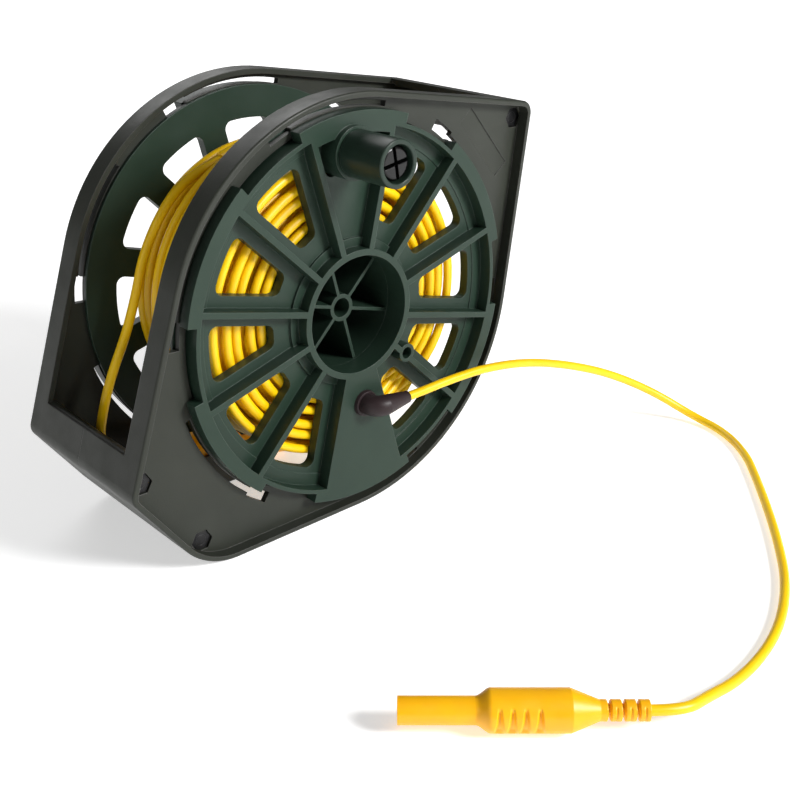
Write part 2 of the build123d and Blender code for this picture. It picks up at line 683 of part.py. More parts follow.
bend_foot = RELIEF_OUT - RELIEF_BEND
with BuildPart() as strain_relief:
    with BuildSketch(layer(-GLAND_HEIGHT, GLAND_BACK)):
        with Locations(GLAND_AT):
            Circle(GLAND_BORE_R)
    extrude(amount=GLAND_BACK + GLAND_HEIGHT)
    with BuildSketch(layer(-bend_foot, -GLAND_HEIGHT)):
        with Locations(GLAND_AT):
            Circle(RELIEF_R)
    extrude(amount=bend_foot - GLAND_HEIGHT)
    with BuildSketch(layer(-bend_foot, -bend_foot)):
        with Locations(GLAND_AT):
            Circle(RELIEF_R)
    bend_middle = place(GLAND_AT[0] + RELIEF_BEND, -bend_foot, GLAND_AT[1])
    revolve(axis=Axis(bend_middle, (0, 0, 1)), revolution_arc=90)
    cone_start = place(GLAND_AT[0] + RELIEF_BEND, -RELIEF_OUT, GLAND_AT[1])
    cone_end = place(RELIEF_END_X, -RELIEF_OUT, GLAND_AT[1])
    with BuildSketch(Plane(cone_start, z_dir=(1, 0, 0))):
        Circle(RELIEF_R)
    with BuildSketch(Plane(cone_end, z_dir=(1, 0, 0))):
        Circle(RELIEF_TIP_R)
    loft()
strain_relief.part.label = "strain_relief"
export_step(strain_relief.part, "parts/strain_relief.step")


# Lead: the winding as one solid, and the two free stretches as tubes
with BuildPart() as lead_wound:
    with BuildSketch(Plane(place(0, 0, 0), x_dir=(0, 1, 0), z_dir=(1, 0, 0))):
        with BuildLine():
            Polyline(
                (DRUM_FRONT, DRUM_R),
                (DRUM_FRONT, WOUND_OUTER_FRONT),
                (DRUM_BACK, WOUND_OUTER_BACK),
                (DRUM_BACK, DRUM_R),
                close=True,
            )
        make_face()
    revolve(axis=Axis(place(0, 0, 0), (0, 1, 0)))
lead_wound.part.label = "lead_wound"
export_step(lead_wound.part, "parts/lead_wound.step")


def lead_tube(name, route):
    """Tube along a route, with an arc at every point as large as its two runs allow; prints the radii."""
    points = [Vector(*place(*point)) for point in route]
    runs = [end - start for start, end in zip(points, points[1:])]
    radii = []
    for before, after in zip(runs, runs[1:]):
        half_turn = radians(before.get_angle(after)) / 2
        radii.append(ARC_SHARE * min(before.length, after.length) / tan(half_turn))
    print(name, "bend radii in mm:", [round(radius, 1) for radius in radii])
    with BuildPart() as tube:
        with BuildLine() as path:
            FilletPolyline(*points, radius=radii)
        with BuildSketch(Plane(points[0], z_dir=runs[0])):
            Circle(LEAD_D / 2)
        sweep()
    section = pi * (LEAD_D / 2) ** 2
    length = path.wires()[0].length
    drift = tube.part.volume / (section * length) - 1
    print(name, "length", round(length, 1), "volume against section x length:", round(drift, 5))
    return tube.part


with BuildPart() as lead_root:
    add(lead_tube("lead_root", ROOT_LEAD))
lead_root.part.label = "lead_root"
export_step(lead_root.part, "parts/lead_root.step")

with BuildPart() as lead_fly:
    add(lead_tube("lead_fly", FLY_LEAD))
lead_fly.part.label = "lead_fly"
export_step(lead_fly.part, "parts/lead_fly.step")

with BuildPart() as lead_tail:
    add(lead_tube("lead_tail", TAIL_LEAD))
lead_tail.part.label = "lead_tail"
export_step(lead_tail.part, "parts/lead_tail.step")


# Safety plugs, one on the fly lead and one parked between the plates
def turned_piece(start, heading, profile):
    """Solid of revolution; the profile is (distance along the axis, radius) points."""
    side = Vector(*heading).cross(Vector(0, 0, 1)).normalized()
    with BuildPart() as piece:
        with BuildSketch(Plane(start, x_dir=heading, z_dir=side)):
            with BuildLine():
                Polyline(*profile, close=True)
            make_face()
        revolve(axis=Axis(start, heading))
    return piece.part


boot_profile = [(0, 0), (0, BOOT_R), (BOOT_RING, BOOT_R)]
for number in (1, 2):
    ring_from = number * BOOT_PITCH
    boot_profile += [(ring_from - BOOT_PITCH + BOOT_RING, BOOT_NECK_R), (ring_from, BOOT_NECK_R)]
    boot_profile += [(ring_from, BOOT_R), (ring_from + BOOT_RING, BOOT_R)]
boot_profile += [(2 * BOOT_PITCH + BOOT_RING, BOOT_NECK_R), (COLLAR_FROM, BOOT_NECK_R)]
boot_profile += [(COLLAR_FROM, COLLAR_R), (COLLAR_TO, COLLAR_R), (COLLAR_TO, 0)]

grip_profile = [(COLLAR_TO, 0), (COLLAR_TO, BOOT_R), (GRIP_FROM, GRIP_R)]
for offset_from_front in reversed(GROOVE_OFFSETS):
    groove = GRIP_TO - offset_from_front
    grip_profile += [(groove - GROOVE_WIDTH / 2, GRIP_R), (groove - GROOVE_WIDTH / 2, GRIP_R - GROOVE_DEPTH)]
    grip_profile += [(groove + GROOVE_WIDTH / 2, GRIP_R - GROOVE_DEPTH), (groove + GROOVE_WIDTH / 2, GRIP_R)]
grip_profile += [(GRIP_TO, GRIP_R), (SHROUD_FROM, SHROUD_R), (SHROUD_FROM, PIN_R), (PIN_FROM, PIN_R)]
grip_profile += [(PIN_FROM, 0)]

shroud_profile = [
    (SHROUD_FROM, SHROUD_BORE_R),
    (SHROUD_FROM, SHROUD_R),
    (PLUG_LENGTH, SHROUD_R),
    (PLUG_LENGTH, SHROUD_BORE_R),
]
pin_profile = [
    (PIN_FROM, 0),
    (PIN_FROM, PIN_R),
    (PIN_TO - PIN_CHAMFER, PIN_R),
    (PIN_TO, PIN_R - PIN_CHAMFER),
    (PIN_TO, 0),
]
cage_profile = [
    (CAGE_FROM, PIN_R),
    (CAGE_FROM + CAGE_SLOPE, CAGE_R),
    (CAGE_TO - CAGE_SLOPE, CAGE_R),
    (CAGE_TO, PIN_R),
]
plug_profiles = {
    "boot": boot_profile,
    "grip": grip_profile,
    "shroud": shroud_profile,
    "pin": pin_profile,
    "spring": cage_profile,
}
plug_spots = {
    "plug": (PLUG_START, PLUG_HEADING),
    "parked_plug": (PARKED_START, PARKED_HEADING),
}
for plug_name, (spot, heading) in plug_spots.items():
    for piece_name, profile in plug_profiles.items():
        with BuildPart() as plug_piece:
            add(turned_piece(place(*spot), heading, profile))
        plug_piece.part.label = f"{plug_name}_{piece_name}"
        export_step(plug_piece.part, f"parts/{plug_piece.part.label}.step")

# Cradle on the foot's cross wall, with a snap groove along the parked plug
with BuildPart() as plug_cradle:
    wall_end = meet(EDGE_NORMALS_TAIL[1], PLATE_REACH, TAIL_NORMAL, TAIL_WALL_FROM)[0]
    with BuildSketch(Plane(place(0, PARKED_DEPTH, 0), x_dir=(1, 0, 0), z_dir=(0, -1, 0))):
        with BuildLine():
            Polyline(
                (wall_end, CRADLE_FOOT),
                (CRADLE_X[1], CRADLE_FOOT),
                (CRADLE_X[1], CRADLE_TOP),
                (CRADLE_X[0], CRADLE_TOP),
                (CRADLE_X[0], TONGUE_TOP),
                (wall_end, TONGUE_TOP),
                close=True,
            )
        make_face()
    extrude(amount=CRADLE_HALF, both=True)
    with BuildSketch(Plane(place(*PARKED_START), z_dir=PARKED_HEADING)):
        Circle(CRADLE_BORE_R)
    extrude(amount=PLUG_LENGTH, mode=Mode.SUBTRACT)
plug_cradle.part.label = "plug_cradle"
export_step(plug_cradle.part, "parts/plug_cradle.step")
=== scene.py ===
from math import cos, exp, pi, radians, sin, sqrt

import bpy
from mathutils import Matrix, Vector


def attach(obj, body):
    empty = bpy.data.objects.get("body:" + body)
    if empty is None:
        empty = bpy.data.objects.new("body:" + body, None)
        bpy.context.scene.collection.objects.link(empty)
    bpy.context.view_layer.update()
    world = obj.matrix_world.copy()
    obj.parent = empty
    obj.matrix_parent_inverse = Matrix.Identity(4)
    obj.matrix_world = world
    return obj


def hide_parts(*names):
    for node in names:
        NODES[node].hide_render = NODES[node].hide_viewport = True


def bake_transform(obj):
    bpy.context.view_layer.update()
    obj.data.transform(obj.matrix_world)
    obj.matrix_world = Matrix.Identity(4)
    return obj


# A hand-cranked storage reel for a long yellow test lead, standing on a pale floor.
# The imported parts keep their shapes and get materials; the lead and the plug bodies are made here.

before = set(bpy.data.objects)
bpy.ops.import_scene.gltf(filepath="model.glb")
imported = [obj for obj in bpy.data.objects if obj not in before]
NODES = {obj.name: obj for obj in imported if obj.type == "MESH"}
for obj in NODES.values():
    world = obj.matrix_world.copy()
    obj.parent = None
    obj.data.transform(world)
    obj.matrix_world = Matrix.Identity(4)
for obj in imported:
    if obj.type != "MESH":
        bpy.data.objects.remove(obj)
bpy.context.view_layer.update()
MM = 0.001

# ---------------------------------------------------------------- places in the frame
# The spool axis and the crank side face of the front flange, in millimetres.
AXIS_X = 4.022
FACE_Y = -25.8
AXIS_Z = 77.9


def place(x, depth, z):
    """Point in the frame, in metres, from millimetres about the middle of the spool's face."""
    return Vector((AXIS_X + x, FACE_Y + depth, AXIS_Z + z)) * MM


# ---------------------------------------------------------------- the lead
# Its diameter in millimetres
LEAD_D = 3.4

# The two plugs: end of the boot, and direction
PARKED_DEPTH = 56.0
PLUG_START = (-21.5, -150.7, -71.0)
PLUG_HEADING = (-0.747, 0.665, 0.0)
PARKED_START = (-64.0, PARKED_DEPTH, -55.0)
PARKED_HEADING = (0.966, 0.0, -0.259)

# The fly lead, from inside the tip of the strain relief to the boot of its plug
FLY_LEAD = [
    (16.0, -6.5, -35.0),
    (26.0, -6.5, -35.0),
    (38.0, -7.0, -34.2),
    (57.0, -8.5, -33.8),
    (80.0, -10.5, -36.8),
    (104.0, -14.0, -43.8),
    (127.0, -19.0, -53.0),
    (147.0, -28.0, -64.5),
    (159.0, -41.0, -75.0),
    (158.0, -58.0, -76.2),
    (147.0, -76.0, -76.2),
    (130.0, -92.0, -76.2),
    (112.0, -108.0, -76.2),
    (94.0, -123.0, -76.2),
    (74.0, -138.0, -76.2),
    (53.0, -149.0, -76.2),
    (33.0, -155.0, -76.2),
    (14.0, -157.0, -76.0),
    (-1.5, -156.6, -73.6),
    (-14.0, -157.4, -71.0),
    PLUG_START,
]

# The other end: out of the winding, down between the plates and to the parked plug
TAIL_DEPTH = 50.0
TAIL_LEAD = [
    (-22.2, TAIL_DEPTH, 50.2),
    (-33.5, TAIL_DEPTH, 47.6),
    (-45.8, TAIL_DEPTH, 38.6),
    (-56.0, TAIL_DEPTH, 23.0),
    (-60.5, TAIL_DEPTH, 8.5),
    (-66.0, TAIL_DEPTH, -5.5),
    (-73.0, TAIL_DEPTH, -18.5),
    (-77.6, 50.3, -31.0),
    (-79.3, 52.0, -42.0),
    (-74.6, PARKED_DEPTH, -52.158),
    PARKED_START,
]


def smooth(x):
    """Smooth step from 0 to 1 as x goes from 0 to 1."""
    x = min(max(x, 0.0), 1.0)
    return x * x * (3 - 2 * x)


def nurbs(name, points, bevel=None):
    """Curve object along the control points, which are in metres."""
    data = bpy.data.curves.new(name, "CURVE")
    data.dimensions = "3D"
    data.resolution_u = 12
    spline = data.splines.new("NURBS")
    spline.points.add(len(points) - 1)
    for point, spot in zip(spline.points, points):
        point.co = (*spot, 1.0)
    spline.order_u = 3
    spline.use_endpoint_u = True
    if bevel:
        data.bevel_depth = bevel
        data.bevel_resolution = 4
        data.use_fill_caps = True
    curve = bpy.data.objects.new(name, data)
    bpy.context.scene.collection.objects.link(curve)
    return curve


def as_mesh(curve):
    """Mesh made from a curve object as it is shown."""
    bpy.context.view_layer.update()
    shown = curve.evaluated_get(bpy.context.evaluated_depsgraph_get())
    return bpy.data.meshes.new_from_object(shown)


def line_of(name, points):
    """Points along the smooth line that the control points give."""
    curve = nurbs(name, points)
    mesh = as_mesh(curve)
    line = [v.co.copy() for v in mesh.vertices]
    bpy.data.objects.remove(curve)
    bpy.data.meshes.remove(mesh)
    return line


# The wound part: layers to and fro between the flanges. The strands of one layer lie apart, and the next
# layer sinks between them; the last layer ends where the tail leaves it.
DRUM_R = 33.6
WOUND_FRONT, WOUND_BACK = 11.35, 63.25     # depths of the strands' middles at the flanges
STRANDS_ACROSS = 11
PITCH = (WOUND_BACK - WOUND_FRONT) / (STRANDS_ACROSS - 1)
LAYERS = 9
LAST_LAYER_STRANDS = 9
LAST_PITCH = (TAIL_DEPTH - WOUND_FRONT) / (LAST_LAYER_STRANDS - 1)
LAYER_RISE = 2.45
LAYER_SWING, SWING_STEP = 0.5, 1.9         # layers are packed a little unevenly
CROSSING_RISE = 1.0                        # where the strand crosses the layer below
CLOSEST = LEAD_D * 0.985                   # strands' middles, where they press on each other
TURN_STEPS = 36
CROSSING_SPAN = 0.18                       # share of a turn in which the strand moves to its next groove
START_ANGLE = 273.3                        # behind the gland in the front flange
END_SHARE = 0.557                          # of a turn, after the last whole one
LOOSE_OVER = 1.5                           # turns over which the last layer comes loose


def grooves():
    """Depth and radius of each turn in order; every other layer lies between the strands below it."""
    found = [(WOUND_FRONT, DRUM_R + LEAD_D / 2)]
    for layer in range(LAYERS):
        radius = DRUM_R + LEAD_D / 2 + LAYER_RISE * layer + LAYER_SWING * sin(SWING_STEP * layer)
        if layer % 2:
            depths = [WOUND_BACK - PITCH * (strand + 0.5) for strand in range(STRANDS_ACROSS - 2)]
        elif layer < LAYERS - 1:
            depths = [WOUND_FRONT + PITCH * strand for strand in range(STRANDS_ACROSS)]
        else:
            depths = [WOUND_FRONT + LAST_PITCH * strand for strand in range(LAST_LAYER_STRANDS)]
        found += [(depth, radius) for depth in depths]
    return found


def unevenness(turn, loose):
    """Slow wander of a hand-wound strand in depth, in millimetres, and the wider one of loose turns."""
    phase = 2 * pi * turn
    wander = 0.14 * sin(0.37 * phase + 1.0) + 0.12 * sin(0.83 * phase) * sin(0.11 * phase + 0.6)
    return wander + loose * (0.6 * sin(1.27 * phase) + 0.4 * sin(0.61 * phase + 2.0))


def resting_radius(depth, radius, below):
    """Radius of a strand on its groove, or a little higher where strands lie below it."""
    highest = radius + CROSSING_RISE
    for other_depth, other_radius in below:
        gap = abs(depth - other_depth)
        if gap < CLOSEST:
            radius = max(radius, other_radius + sqrt(CLOSEST**2 - gap**2))
    return min(radius, highest)


def wound_points():
    """Control points of the winding, in metres."""
    laid_out = grooves()
    turns = len(laid_out) - 2
    count = int((turns + END_SHARE) * TURN_STEPS) + 1
    laid = [[] for _ in range(TURN_STEPS)]
    depths, radii = [], []
    for step in range(count):
        turn = step / TURN_STEPS
        whole = int(turn)
        moved = smooth((turn - whole) / CROSSING_SPAN)
        (depth, radius), (next_depth, next_radius) = laid_out[whole:whole + 2]
        depth += (next_depth - depth) * moved
        radius += (next_radius - radius) * moved
        loose = smooth((turn - turns + LAST_LAYER_STRANDS) / LOOSE_OVER) * smooth(turns - turn)
        depth = min(max(depth + unevenness(turn, loose), WOUND_FRONT), WOUND_BACK)
        radius = resting_radius(depth, radius, laid[step % TURN_STEPS])
        laid[step % TURN_STEPS].append((depth, radius))
        depths.append(depth)
        radii.append(radius)
    points = []
    for step in range(count):
        near = radii[max(step - 1, 0):step + 2]
        radius = sum(near) / len(near)
        angle = radians(START_ANGLE + 360 * step / TURN_STEPS)
        points.append(place(radius * cos(angle), depths[step], radius * sin(angle)))
    return points


wound_lead = nurbs("wound_lead", wound_points(), LEAD_D / 2 * MM)
wound_lead.data.resolution_u = 2
wound_lead.data.bevel_resolution = 3
wound_line = line_of("wound_line", [p.co.xyz for p in wound_lead.data.splines[0].points])

tail_lead = nurbs("tail_lead", [place(*p) for p in TAIL_LEAD], LEAD_D / 2 * MM)

fly_points = [place(*p) for p in FLY_LEAD]
fly_curve = nurbs("fly_curve", fly_points, LEAD_D / 2 * MM)
fly_lead = bpy.data.objects.new("fly_lead", as_mesh(fly_curve))
bpy.context.scene.collection.objects.link(fly_lead)
bpy.data.objects.remove(fly_curve)
for polygon in fly_lead.data.polygons:
    polygon.use_smooth = True

# ---------------------------------------------------------------- plug bodies
# Counted in millimetres from the end of the boot. The rings' creases and the grip's grooves are cut in both
# sides and fade out towards the top and the bottom.
BOOT_PITCH, BOOT_RING, BOOT_RINGS = 4.05, 3.2, 3
BOOT_R, BOOT_NECK_R = 3.1, 1.95
BOOT_EDGE = 0.3
BOOT_TO = 14.3
CREASE_DEPTH, CREASE_HALF = 0.45, 0.22
CREASE_SIDE, CREASE_FADE = 0.5, 0.3
GRIP_R = 6.35
GRIP_FROM, GRIP_TO = 22.5, 45.2
CONE_END = 49.4
CONE_START = 0.04                          # how far the cone has begun where the grip ends
SHROUD_R = 4.1
GROOVES = tuple(GRIP_TO - back for back in (2.3, 5.9, 9.6, 13.6))
GROOVE_HALF, GROOVE_DEPTH = 0.95, 0.9
GROOVE_FLARE = 0.7                         # how much wider a groove gets towards the bottom
GROOVE_FLAT = 0.3                          # share of its half width that is at full depth
GROOVE_SIDE, GROOVE_FADE = 0.72, 0.16
PLUG_SIDES = 96
PLUG_STEP = 0.16


def boot_radius(along, side):
    """Radius of the boot: rings on a neck, and then the foot of the grip's cone."""
    number = int(along / BOOT_PITCH)
    within = along - number * BOOT_PITCH
    if number == BOOT_RINGS:
        return BOOT_NECK_R + (BOOT_R - BOOT_NECK_R) * smooth(within / BOOT_EDGE + 0.5)
    ring = smooth(min(within, BOOT_RING - within) / BOOT_EDGE + 0.5)
    cut = smooth((side - CREASE_SIDE) / CREASE_FADE)
    crease = CREASE_DEPTH * cut * exp(-((within - BOOT_RING / 2) / CREASE_HALF) ** 2)
    return BOOT_NECK_R + (BOOT_R - BOOT_NECK_R) * ring - crease


def grip_radius(along, side, angle):
    """Radius of the grip with its grooves."""
    cut = smooth((side - GROOVE_SIDE) / GROOVE_FADE)
    half = GROOVE_HALF * (1.0 - GROOVE_FLARE * cos(angle))
    radius = GRIP_R
    for middle in GROOVES:
        radius -= GROOVE_DEPTH * cut * (1 - smooth(abs(along - middle) / half - GROOVE_FLAT))
    return radius


def plug_radius(along, angle):
    """Radius of the plug's moulded body at a distance from the end of its boot; angle 0 is the top."""
    side = abs(sin(angle))
    if along < BOOT_TO:
        return boot_radius(along, side)
    if along < GRIP_FROM:
        return BOOT_R + (GRIP_R - BOOT_R) * (along - BOOT_TO) / (GRIP_FROM - BOOT_TO)
    if along > GRIP_TO:
        share = (along - GRIP_TO) / (CONE_END - GRIP_TO)
        return GRIP_R + (SHROUD_R - GRIP_R) * smooth(share * (1 - CONE_START) + CONE_START)
    return grip_radius(along, side, angle)


def plug_body(name, start, heading):
    """Mesh of the boot and the grip of one plug, closed at both ends."""
    origin = place(*start)
    axis = Vector(heading).normalized()
    side = axis.cross(Vector((0, 0, 1))).normalized()
    top = side.cross(axis)
    steps = int(CONE_END / PLUG_STEP)
    verts = []
    for step in range(steps + 1):
        along = CONE_END * step / steps
        for corner in range(PLUG_SIDES):
            angle = 2 * pi * corner / PLUG_SIDES
            radius = plug_radius(along, angle)
            spot = axis * along + top * (radius * cos(angle)) + side * (radius * sin(angle))
            verts.append(origin + spot * MM)
    faces = []
    for step in range(steps):
        for corner in range(PLUG_SIDES):
            after = (corner + 1) % PLUG_SIDES
            here, there = step * PLUG_SIDES, (step + 1) * PLUG_SIDES
            faces.append((here + corner, there + corner, there + after, here + after))
    faces.append(tuple(range(PLUG_SIDES)))
    faces.append(tuple(range(len(verts) - 1, len(verts) - PLUG_SIDES - 1, -1)))
    mesh = bpy.data.meshes.new(name)
    mesh.from_pydata(verts, [], faces)
    mesh.validate()
    for polygon in mesh.polygons:
        polygon.use_smooth = len(polygon.vertices) == 4
    body = bpy.data.objects.new(name, mesh)
    bpy.context.scene.collection.objects.link(body)
    return body


plug_moulding = plug_body("plug_moulding", PLUG_START, PLUG_HEADING)
parked_moulding = plug_body("parked_plug_moulding", PARKED_START, PARKED_HEADING)


# ---------------------------------------------------------------- materials
# Lengths are in metres
PLASTIC_EDGE, METAL_EDGE = 0.00045, 0.0002     # how wide an edge is rounded and painted lighter: wear and painted highlight on plastic, painted highlight on metal
EDGE_WEAR_AND_HIGHLIGHT = 0.55                                    # how much of a plastic edge is painted lighter at most, partly as rubbed wear and partly as painted highlight
PLASTIC_GLOSS = 0.28
VINYL_DEPTH, VINYL_DEPTH_SHARE = 0.0012, 0.05  # how far light goes into vinyl, and how much of it
TURNING_DEPTH = 0.00001                        # marks of turning in metal


def material(name):
    """New node material with its principled shader."""
    made = bpy.data.materials.new(name)
    made.use_nodes = True
    return made, made.node_tree, made.node_tree.nodes["Principled BSDF"]


def noise(tree, scale, detail=3.0, roughness=0.5):
    """Noise over the part's own place, so that it stays with the part."""
    spot = tree.nodes.new("ShaderNodeTexCoord")
    made = tree.nodes.new("ShaderNodeTexNoise")
    made.inputs["Scale"].default_value = scale
    made.inputs["Detail"].default_value = detail
    made.inputs["Roughness"].default_value = roughness
    tree.links.new(spot.outputs["Object"], made.inputs["Vector"])
    return made.outputs["Fac"]


def ranged(tree, value, low, high, to_low, to_high):
    """Value mapped from one range to another, kept within it."""
    made = tree.nodes.new("ShaderNodeMapRange")
    made.inputs["From Min"].default_value = low
    made.inputs["From Max"].default_value = high
    made.inputs["To Min"].default_value = to_low
    made.inputs["To Max"].default_value = to_high
    tree.links.new(value, made.inputs["Value"])
    return made.outputs["Result"]


def product(tree, a, b):
    """Two values multiplied."""
    made = tree.nodes.new("ShaderNodeMath")
    made.operation = "MULTIPLY"
    tree.links.new(a, made.inputs[0])
    tree.links.new(b, made.inputs[1])
    return made.outputs[0]


def mixed(tree, share, first, second):
    """Colour between two, each a socket or a plain colour."""
    made = tree.nodes.new("ShaderNodeMix")
    made.data_type = "RGBA"
    tree.links.new(share, made.inputs["Factor"])
    for colour, name in ((first, "A"), (second, "B")):
        socket = next(s for s in made.inputs if s.name == name and s.type == "RGBA")
        if isinstance(colour, tuple):
            socket.default_value = (*colour, 1.0)
        else:
            tree.links.new(colour, socket)
    return next(s for s in made.outputs if s.type == "RGBA")


def edges(tree, radius):
    """Rounded normal, and a mask that is 1 along the part's edges."""
    rounded = tree.nodes.new("ShaderNodeBevel")
    rounded.samples = 6
    rounded.inputs["Radius"].default_value = radius
    flat = tree.nodes.new("ShaderNodeNewGeometry")
    along = tree.nodes.new("ShaderNodeVectorMath")
    along.operation = "DOT_PRODUCT"
    tree.links.new(rounded.outputs["Normal"], along.inputs[0])
    tree.links.new(flat.outputs["Normal"], along.inputs[1])
    return rounded.outputs["Normal"], ranged(tree, along.outputs["Value"], 0.995, 0.86, 0.0, 1.0)


def bump(tree, shader, height, depth, normal=None):
    """Bump of a real depth in metres on a shader's normal."""
    made = tree.nodes.new("ShaderNodeBump")
    made.inputs["Distance"].default_value = depth
    tree.links.new(height, made.inputs["Height"])
    if normal is not None:
        tree.links.new(normal, made.inputs["Normal"])
    tree.links.new(made.outputs["Normal"], shader.inputs["Normal"])


def moulded(name, colour, deep, worn_and_highlight_colour, roughness, grain, grain_depth):
    """Moulded plastic: slow colour drift, eroded grain, rounded edges painted lighter, partly as rubbed
    wear and partly as a painted highlight.
    """
    made, tree, shader = material(name)
    normal, edge = edges(tree, PLASTIC_EDGE)
    drift = ranged(tree, noise(tree, 32.0, 4.0, 0.6), 0.32, 0.68, 0.0, 1.0)
    body = mixed(tree, drift, deep, colour)
    # Edges painted lighter in spots: partly rubbed wear, partly a painted highlight along the rims
    rubbed_and_highlight = ranged(tree, noise(tree, 210.0, 5.0, 0.65), 0.38, 0.62, EDGE_WEAR_AND_HIGHLIGHT * 0.4, EDGE_WEAR_AND_HIGHLIGHT)
    painted = mixed(tree, product(tree, edge, rubbed_and_highlight), body, worn_and_highlight_colour)
    tree.links.new(painted, shader.inputs["Base Color"])
    shader.inputs["Specular IOR Level"].default_value = PLASTIC_GLOSS
    gloss = ranged(tree, noise(tree, 90.0, 5.0, 0.6), 0.3, 0.7, roughness - 0.07, roughness + 0.08)
    tree.links.new(gloss, shader.inputs["Roughness"])
    bump(tree, shader, noise(tree, 1 / grain, 2.0, 0.55), grain_depth, normal)
    return made


def vinyl(name, colour, deep, roughness, grain, grain_depth):
    """Soft lead jacket or plug moulding: warm depth, faint flow lines and scuffs."""
    made, tree, shader = material(name)
    drift = ranged(tree, noise(tree, 60.0, 4.0, 0.6), 0.35, 0.65, 0.0, 1.0)
    body = mixed(tree, drift, deep, colour)
    scuff = ranged(tree, noise(tree, 420.0, 6.0, 0.7), 0.6, 0.78, 0.0, 0.35)
    dull = tuple(0.72 * c + 0.05 for c in colour)
    tree.links.new(mixed(tree, scuff, body, dull), shader.inputs["Base Color"])
    gloss = ranged(tree, noise(tree, 150.0, 5.0, 0.6), 0.3, 0.7, roughness - 0.06, roughness + 0.1)
    tree.links.new(gloss, shader.inputs["Roughness"])
    shader.inputs["Subsurface Weight"].default_value = VINYL_DEPTH_SHARE
    shader.inputs["Subsurface Radius"].default_value = (1.0, 0.6, 0.1)
    shader.inputs["Subsurface Scale"].default_value = VINYL_DEPTH
    bump(tree, shader, noise(tree, 1 / grain, 3.0, 0.6), grain_depth)
    return made


def metal(name, colour, deep, roughness, grain):
    """Plated or blackened metal with fine turning marks, dull spots and edges painted brighter as a
    highlight.
    """
    made, tree, shader = material(name)
    normal, edge = edges(tree, METAL_EDGE)
    drift = ranged(tree, noise(tree, 260.0, 5.0, 0.65), 0.35, 0.65, 0.0, 1.0)
    body = mixed(tree, drift, deep, colour)
    # Edges painted brighter: a painted highlight
    painted_edge_highlight = tuple(min(1.0, 1.5 * c + 0.04) for c in colour)
    tree.links.new(mixed(tree, edge, body, painted_edge_highlight), shader.inputs["Base Color"])
    shader.inputs["Metallic"].default_value = 1.0
    gloss = ranged(tree, noise(tree, 700.0, 4.0, 0.6), 0.3, 0.7, roughness - 0.08, roughness + 0.12)
    tree.links.new(gloss, shader.inputs["Roughness"])
    bump(tree, shader, noise(tree, 1 / grain, 2.0, 0.5), TURNING_DEPTH, normal)
    return made


frame_plastic = moulded(
    "frame_plastic",
    colour=(0.028, 0.031, 0.024),
    deep=(0.022, 0.025, 0.019),
    worn_and_highlight_colour=(0.13, 0.12, 0.12),
    roughness=0.44,
    grain=0.0005,
    grain_depth=0.00003,
)
spool_plastic = moulded(
    "spool_plastic",
    colour=(0.018, 0.036, 0.024),
    deep=(0.014, 0.030, 0.020),
    worn_and_highlight_colour=(0.09, 0.12, 0.10),
    roughness=0.40,
    grain=0.00045,
    grain_depth=0.00002,
)
knob_plastic = moulded(
    "knob_plastic",
    colour=(0.015, 0.029, 0.020),
    deep=(0.012, 0.024, 0.017),
    worn_and_highlight_colour=(0.16, 0.17, 0.16),
    roughness=0.36,
    grain=0.0004,
    grain_depth=0.000015,
)
post_plastic = moulded(
    "post_plastic",
    colour=(0.003, 0.003, 0.003),
    deep=(0.002, 0.002, 0.002),
    worn_and_highlight_colour=(0.015, 0.015, 0.015),
    roughness=0.22,
    grain=0.0004,
    grain_depth=0.000004,
)
relief_rubber = moulded(
    "relief_rubber",
    colour=(0.026, 0.015, 0.016),
    deep=(0.018, 0.011, 0.012),
    worn_and_highlight_colour=(0.07, 0.05, 0.055),
    roughness=0.46,
    grain=0.0006,
    grain_depth=0.00003,
)
lead_jacket = vinyl(
    "lead_jacket",
    colour=(0.93, 0.60, 0.0),
    deep=(0.89, 0.54, 0.0),
    roughness=0.36,
    grain=0.0004,
    grain_depth=0.000003,
)
plug_plastic = vinyl(
    "plug_plastic",
    colour=(1.0, 0.50, 0.0),
    deep=(0.95, 0.44, 0.0),
    roughness=0.40,
    grain=0.0004,
    grain_depth=0.000008,
)
fastener_steel = metal(
    "fastener_steel",
    colour=(0.05, 0.05, 0.05),
    deep=(0.03, 0.03, 0.032),
    roughness=0.42,
    grain=0.0004,
)
contact_brass = metal(
    "contact_brass",
    colour=(0.78, 0.60, 0.32),
    deep=(0.66, 0.48, 0.24),
    roughness=0.26,
    grain=0.0003,
)

# Material slot: its material, and how the names of its CAD nodes start
FINISHES = {
    "frame_plastic": (frame_plastic, ("front_side_plate", "back_side_plate", "plug_cradle")),
    "spool_plastic": (spool_plastic, ("front_flange", "back_flange", "hub_")),
    "knob_plastic": (knob_plastic, ("knob_sleeve",)),
    "post_plastic": (post_plastic, ("knob_post",)),
    "relief_rubber": (relief_rubber, ("lead_gland", "strain_relief")),
    "fastener_steel": (fastener_steel, ("frame_screw", "frame_nut", "flange_screw")),
    "contact_brass": (contact_brass, ("plug_pin", "plug_spring", "parked_plug_pin", "parked_plug_spring")),
    "plug_plastic": (plug_plastic, ("plug_shroud", "parked_plug_shroud")),
    "lead_jacket": (lead_jacket, ()),
}


def finish_piece(piece, slot):
    """Gives a piece the material that its slot names."""
    if not piece.data.materials:
        piece.data.materials.append(None)
    for held in piece.material_slots:
        held.link = "OBJECT"
        held.material = FINISHES[slot][0]


for slot_name, (_, starts) in FINISHES.items():
    for node_name, node in NODES.items():
        if node_name.startswith(starts):
            finish_piece(node, slot_name)

for piece in (plug_moulding, parked_moulding):
    finish_piece(piece, "plug_plastic")
for piece in (wound_lead, tail_lead, fly_lead):
    finish_piece(piece, "lead_jacket")

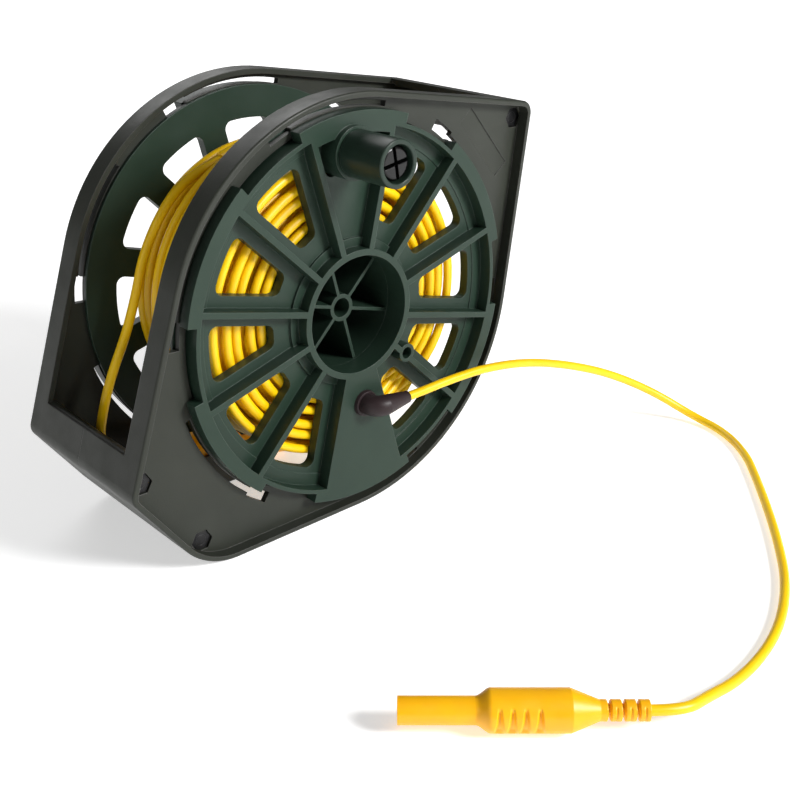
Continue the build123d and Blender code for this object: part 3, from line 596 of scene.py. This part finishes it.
# ---------------------------------------------------------------- what moves with what
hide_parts("plug_boot", "plug_grip")
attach(plug_moulding, "frame")
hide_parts("parked_plug_boot", "parked_plug_grip")
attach(parked_moulding, "frame")

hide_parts("lead_wound")
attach(wound_lead, "spool")

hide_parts("lead_tail")
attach(tail_lead, "frame")

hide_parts("lead_root", "lead_fly")
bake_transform(fly_lead)
line_of("fly_line", fly_points)

# ---------------------------------------------------------------- floor, light and camera
FLOOR_SIZE = 12.0
FLOOR_GLOW = 0.5                           # near the reel; the floor far behind it glows fully
GLOW_FROM, GLOW_TO = 0.4, 1.2
WORLD_LIGHT = 0.12
REEL_MIDDLE = (0.0, 0.0, 0.08)


def floor():
    """Plain pale floor under the reel."""
    mesh = bpy.data.meshes.new("floor")
    half = FLOOR_SIZE / 2
    corners = [(-half, -half, 0), (half, -half, 0), (half, half, 0), (-half, half, 0)]
    mesh.from_pydata(corners, [], [(0, 1, 2, 3)])
    made = bpy.data.objects.new("floor", mesh)
    bpy.context.scene.collection.objects.link(made)
    paint, tree, shader = material("floor_paper")
    shade = ranged(tree, noise(tree, 3.0, 2.0), 0.3, 0.7, 0.0, 1.0)
    tree.links.new(mixed(tree, shade, (0.93, 0.93, 0.93), (0.95, 0.95, 0.95)), shader.inputs["Base Color"])
    shader.inputs["Roughness"].default_value = 0.9
    shader.inputs["Specular IOR Level"].default_value = 0.1
    shader.inputs["Emission Color"].default_value = (1.0, 1.0, 1.0, 1.0)
    spot = tree.nodes.new("ShaderNodeTexCoord")
    reach = tree.nodes.new("ShaderNodeVectorMath")
    reach.operation = "LENGTH"
    tree.links.new(spot.outputs["Object"], reach.inputs[0])
    glow = ranged(tree, reach.outputs["Value"], GLOW_FROM, GLOW_TO, FLOOR_GLOW, 1.0)
    tree.links.new(glow, shader.inputs["Emission Strength"])
    mesh.materials.append(paint)
    return made


floor()


def soft_light(name, spot, towards, size, watts):
    """Square softbox that points at a spot."""
    data = bpy.data.lights.new(name, "AREA")
    data.shape = "SQUARE"
    data.size = size
    data.energy = watts
    made = bpy.data.objects.new(name, data)
    made.location = spot
    made.rotation_mode = "QUATERNION"
    made.rotation_quaternion = (Vector(towards) - Vector(spot)).to_track_quat("-Z", "Y")
    bpy.context.scene.collection.objects.link(made)


soft_light("key", (0.40, -1.05, 0.70), REEL_MIDDLE, 0.35, 20.0)
soft_light("left", (-0.95, -0.25, 0.6), REEL_MIDDLE, 0.5, 1.2)
soft_light("rear", (0.3, 0.9, 0.8), REEL_MIDDLE, 0.7, 4.0)

world = bpy.data.worlds.new("studio")
world.use_nodes = True
world.node_tree.nodes["Background"].inputs["Color"].default_value = (1.0, 1.0, 1.0, 1.0)
world.node_tree.nodes["Background"].inputs["Strength"].default_value = WORLD_LIGHT
bpy.context.scene.world = world
bpy.context.scene.view_settings.view_transform = "Standard"

# The camera looks at a point a little right of and below the middle of the spool's face. Angles are in
# degrees, distances and the lens in millimetres.
VIEW_AZIMUTH = -42.459
VIEW_ELEVATION = 24.758
VIEW_ROLL = 0.511
VIEW_DISTANCE = 432.07
VIEW_TARGET = (19.694, 0.0, -39.318)
LENS, SENSOR = 50.86, 36.0


def camera():
    """Camera at the reel's viewing angle, with its picture's middle on the target."""
    azimuth, elevation, roll = radians(VIEW_AZIMUTH), radians(VIEW_ELEVATION), radians(VIEW_ROLL)
    back = Vector((sin(azimuth) * cos(elevation), -cos(azimuth) * cos(elevation), sin(elevation)))
    level = Vector((cos(azimuth), sin(azimuth), 0.0))
    upright = back.cross(level)
    right = level * cos(roll) + upright * sin(roll)
    up = upright * cos(roll) - level * sin(roll)
    data = bpy.data.cameras.new("camera")
    data.lens = LENS
    data.sensor_width = SENSOR
    data.clip_start = 0.01
    made = bpy.data.objects.new("camera", data)
    turned = Matrix((right, up, back)).transposed().to_4x4()
    made.matrix_world = Matrix.Translation(place(*VIEW_TARGET) + back * (VIEW_DISTANCE * MM)) @ turned
    bpy.context.scene.collection.objects.link(made)
    bpy.context.scene.camera = made


camera()

bpy.context.view_layer.update()
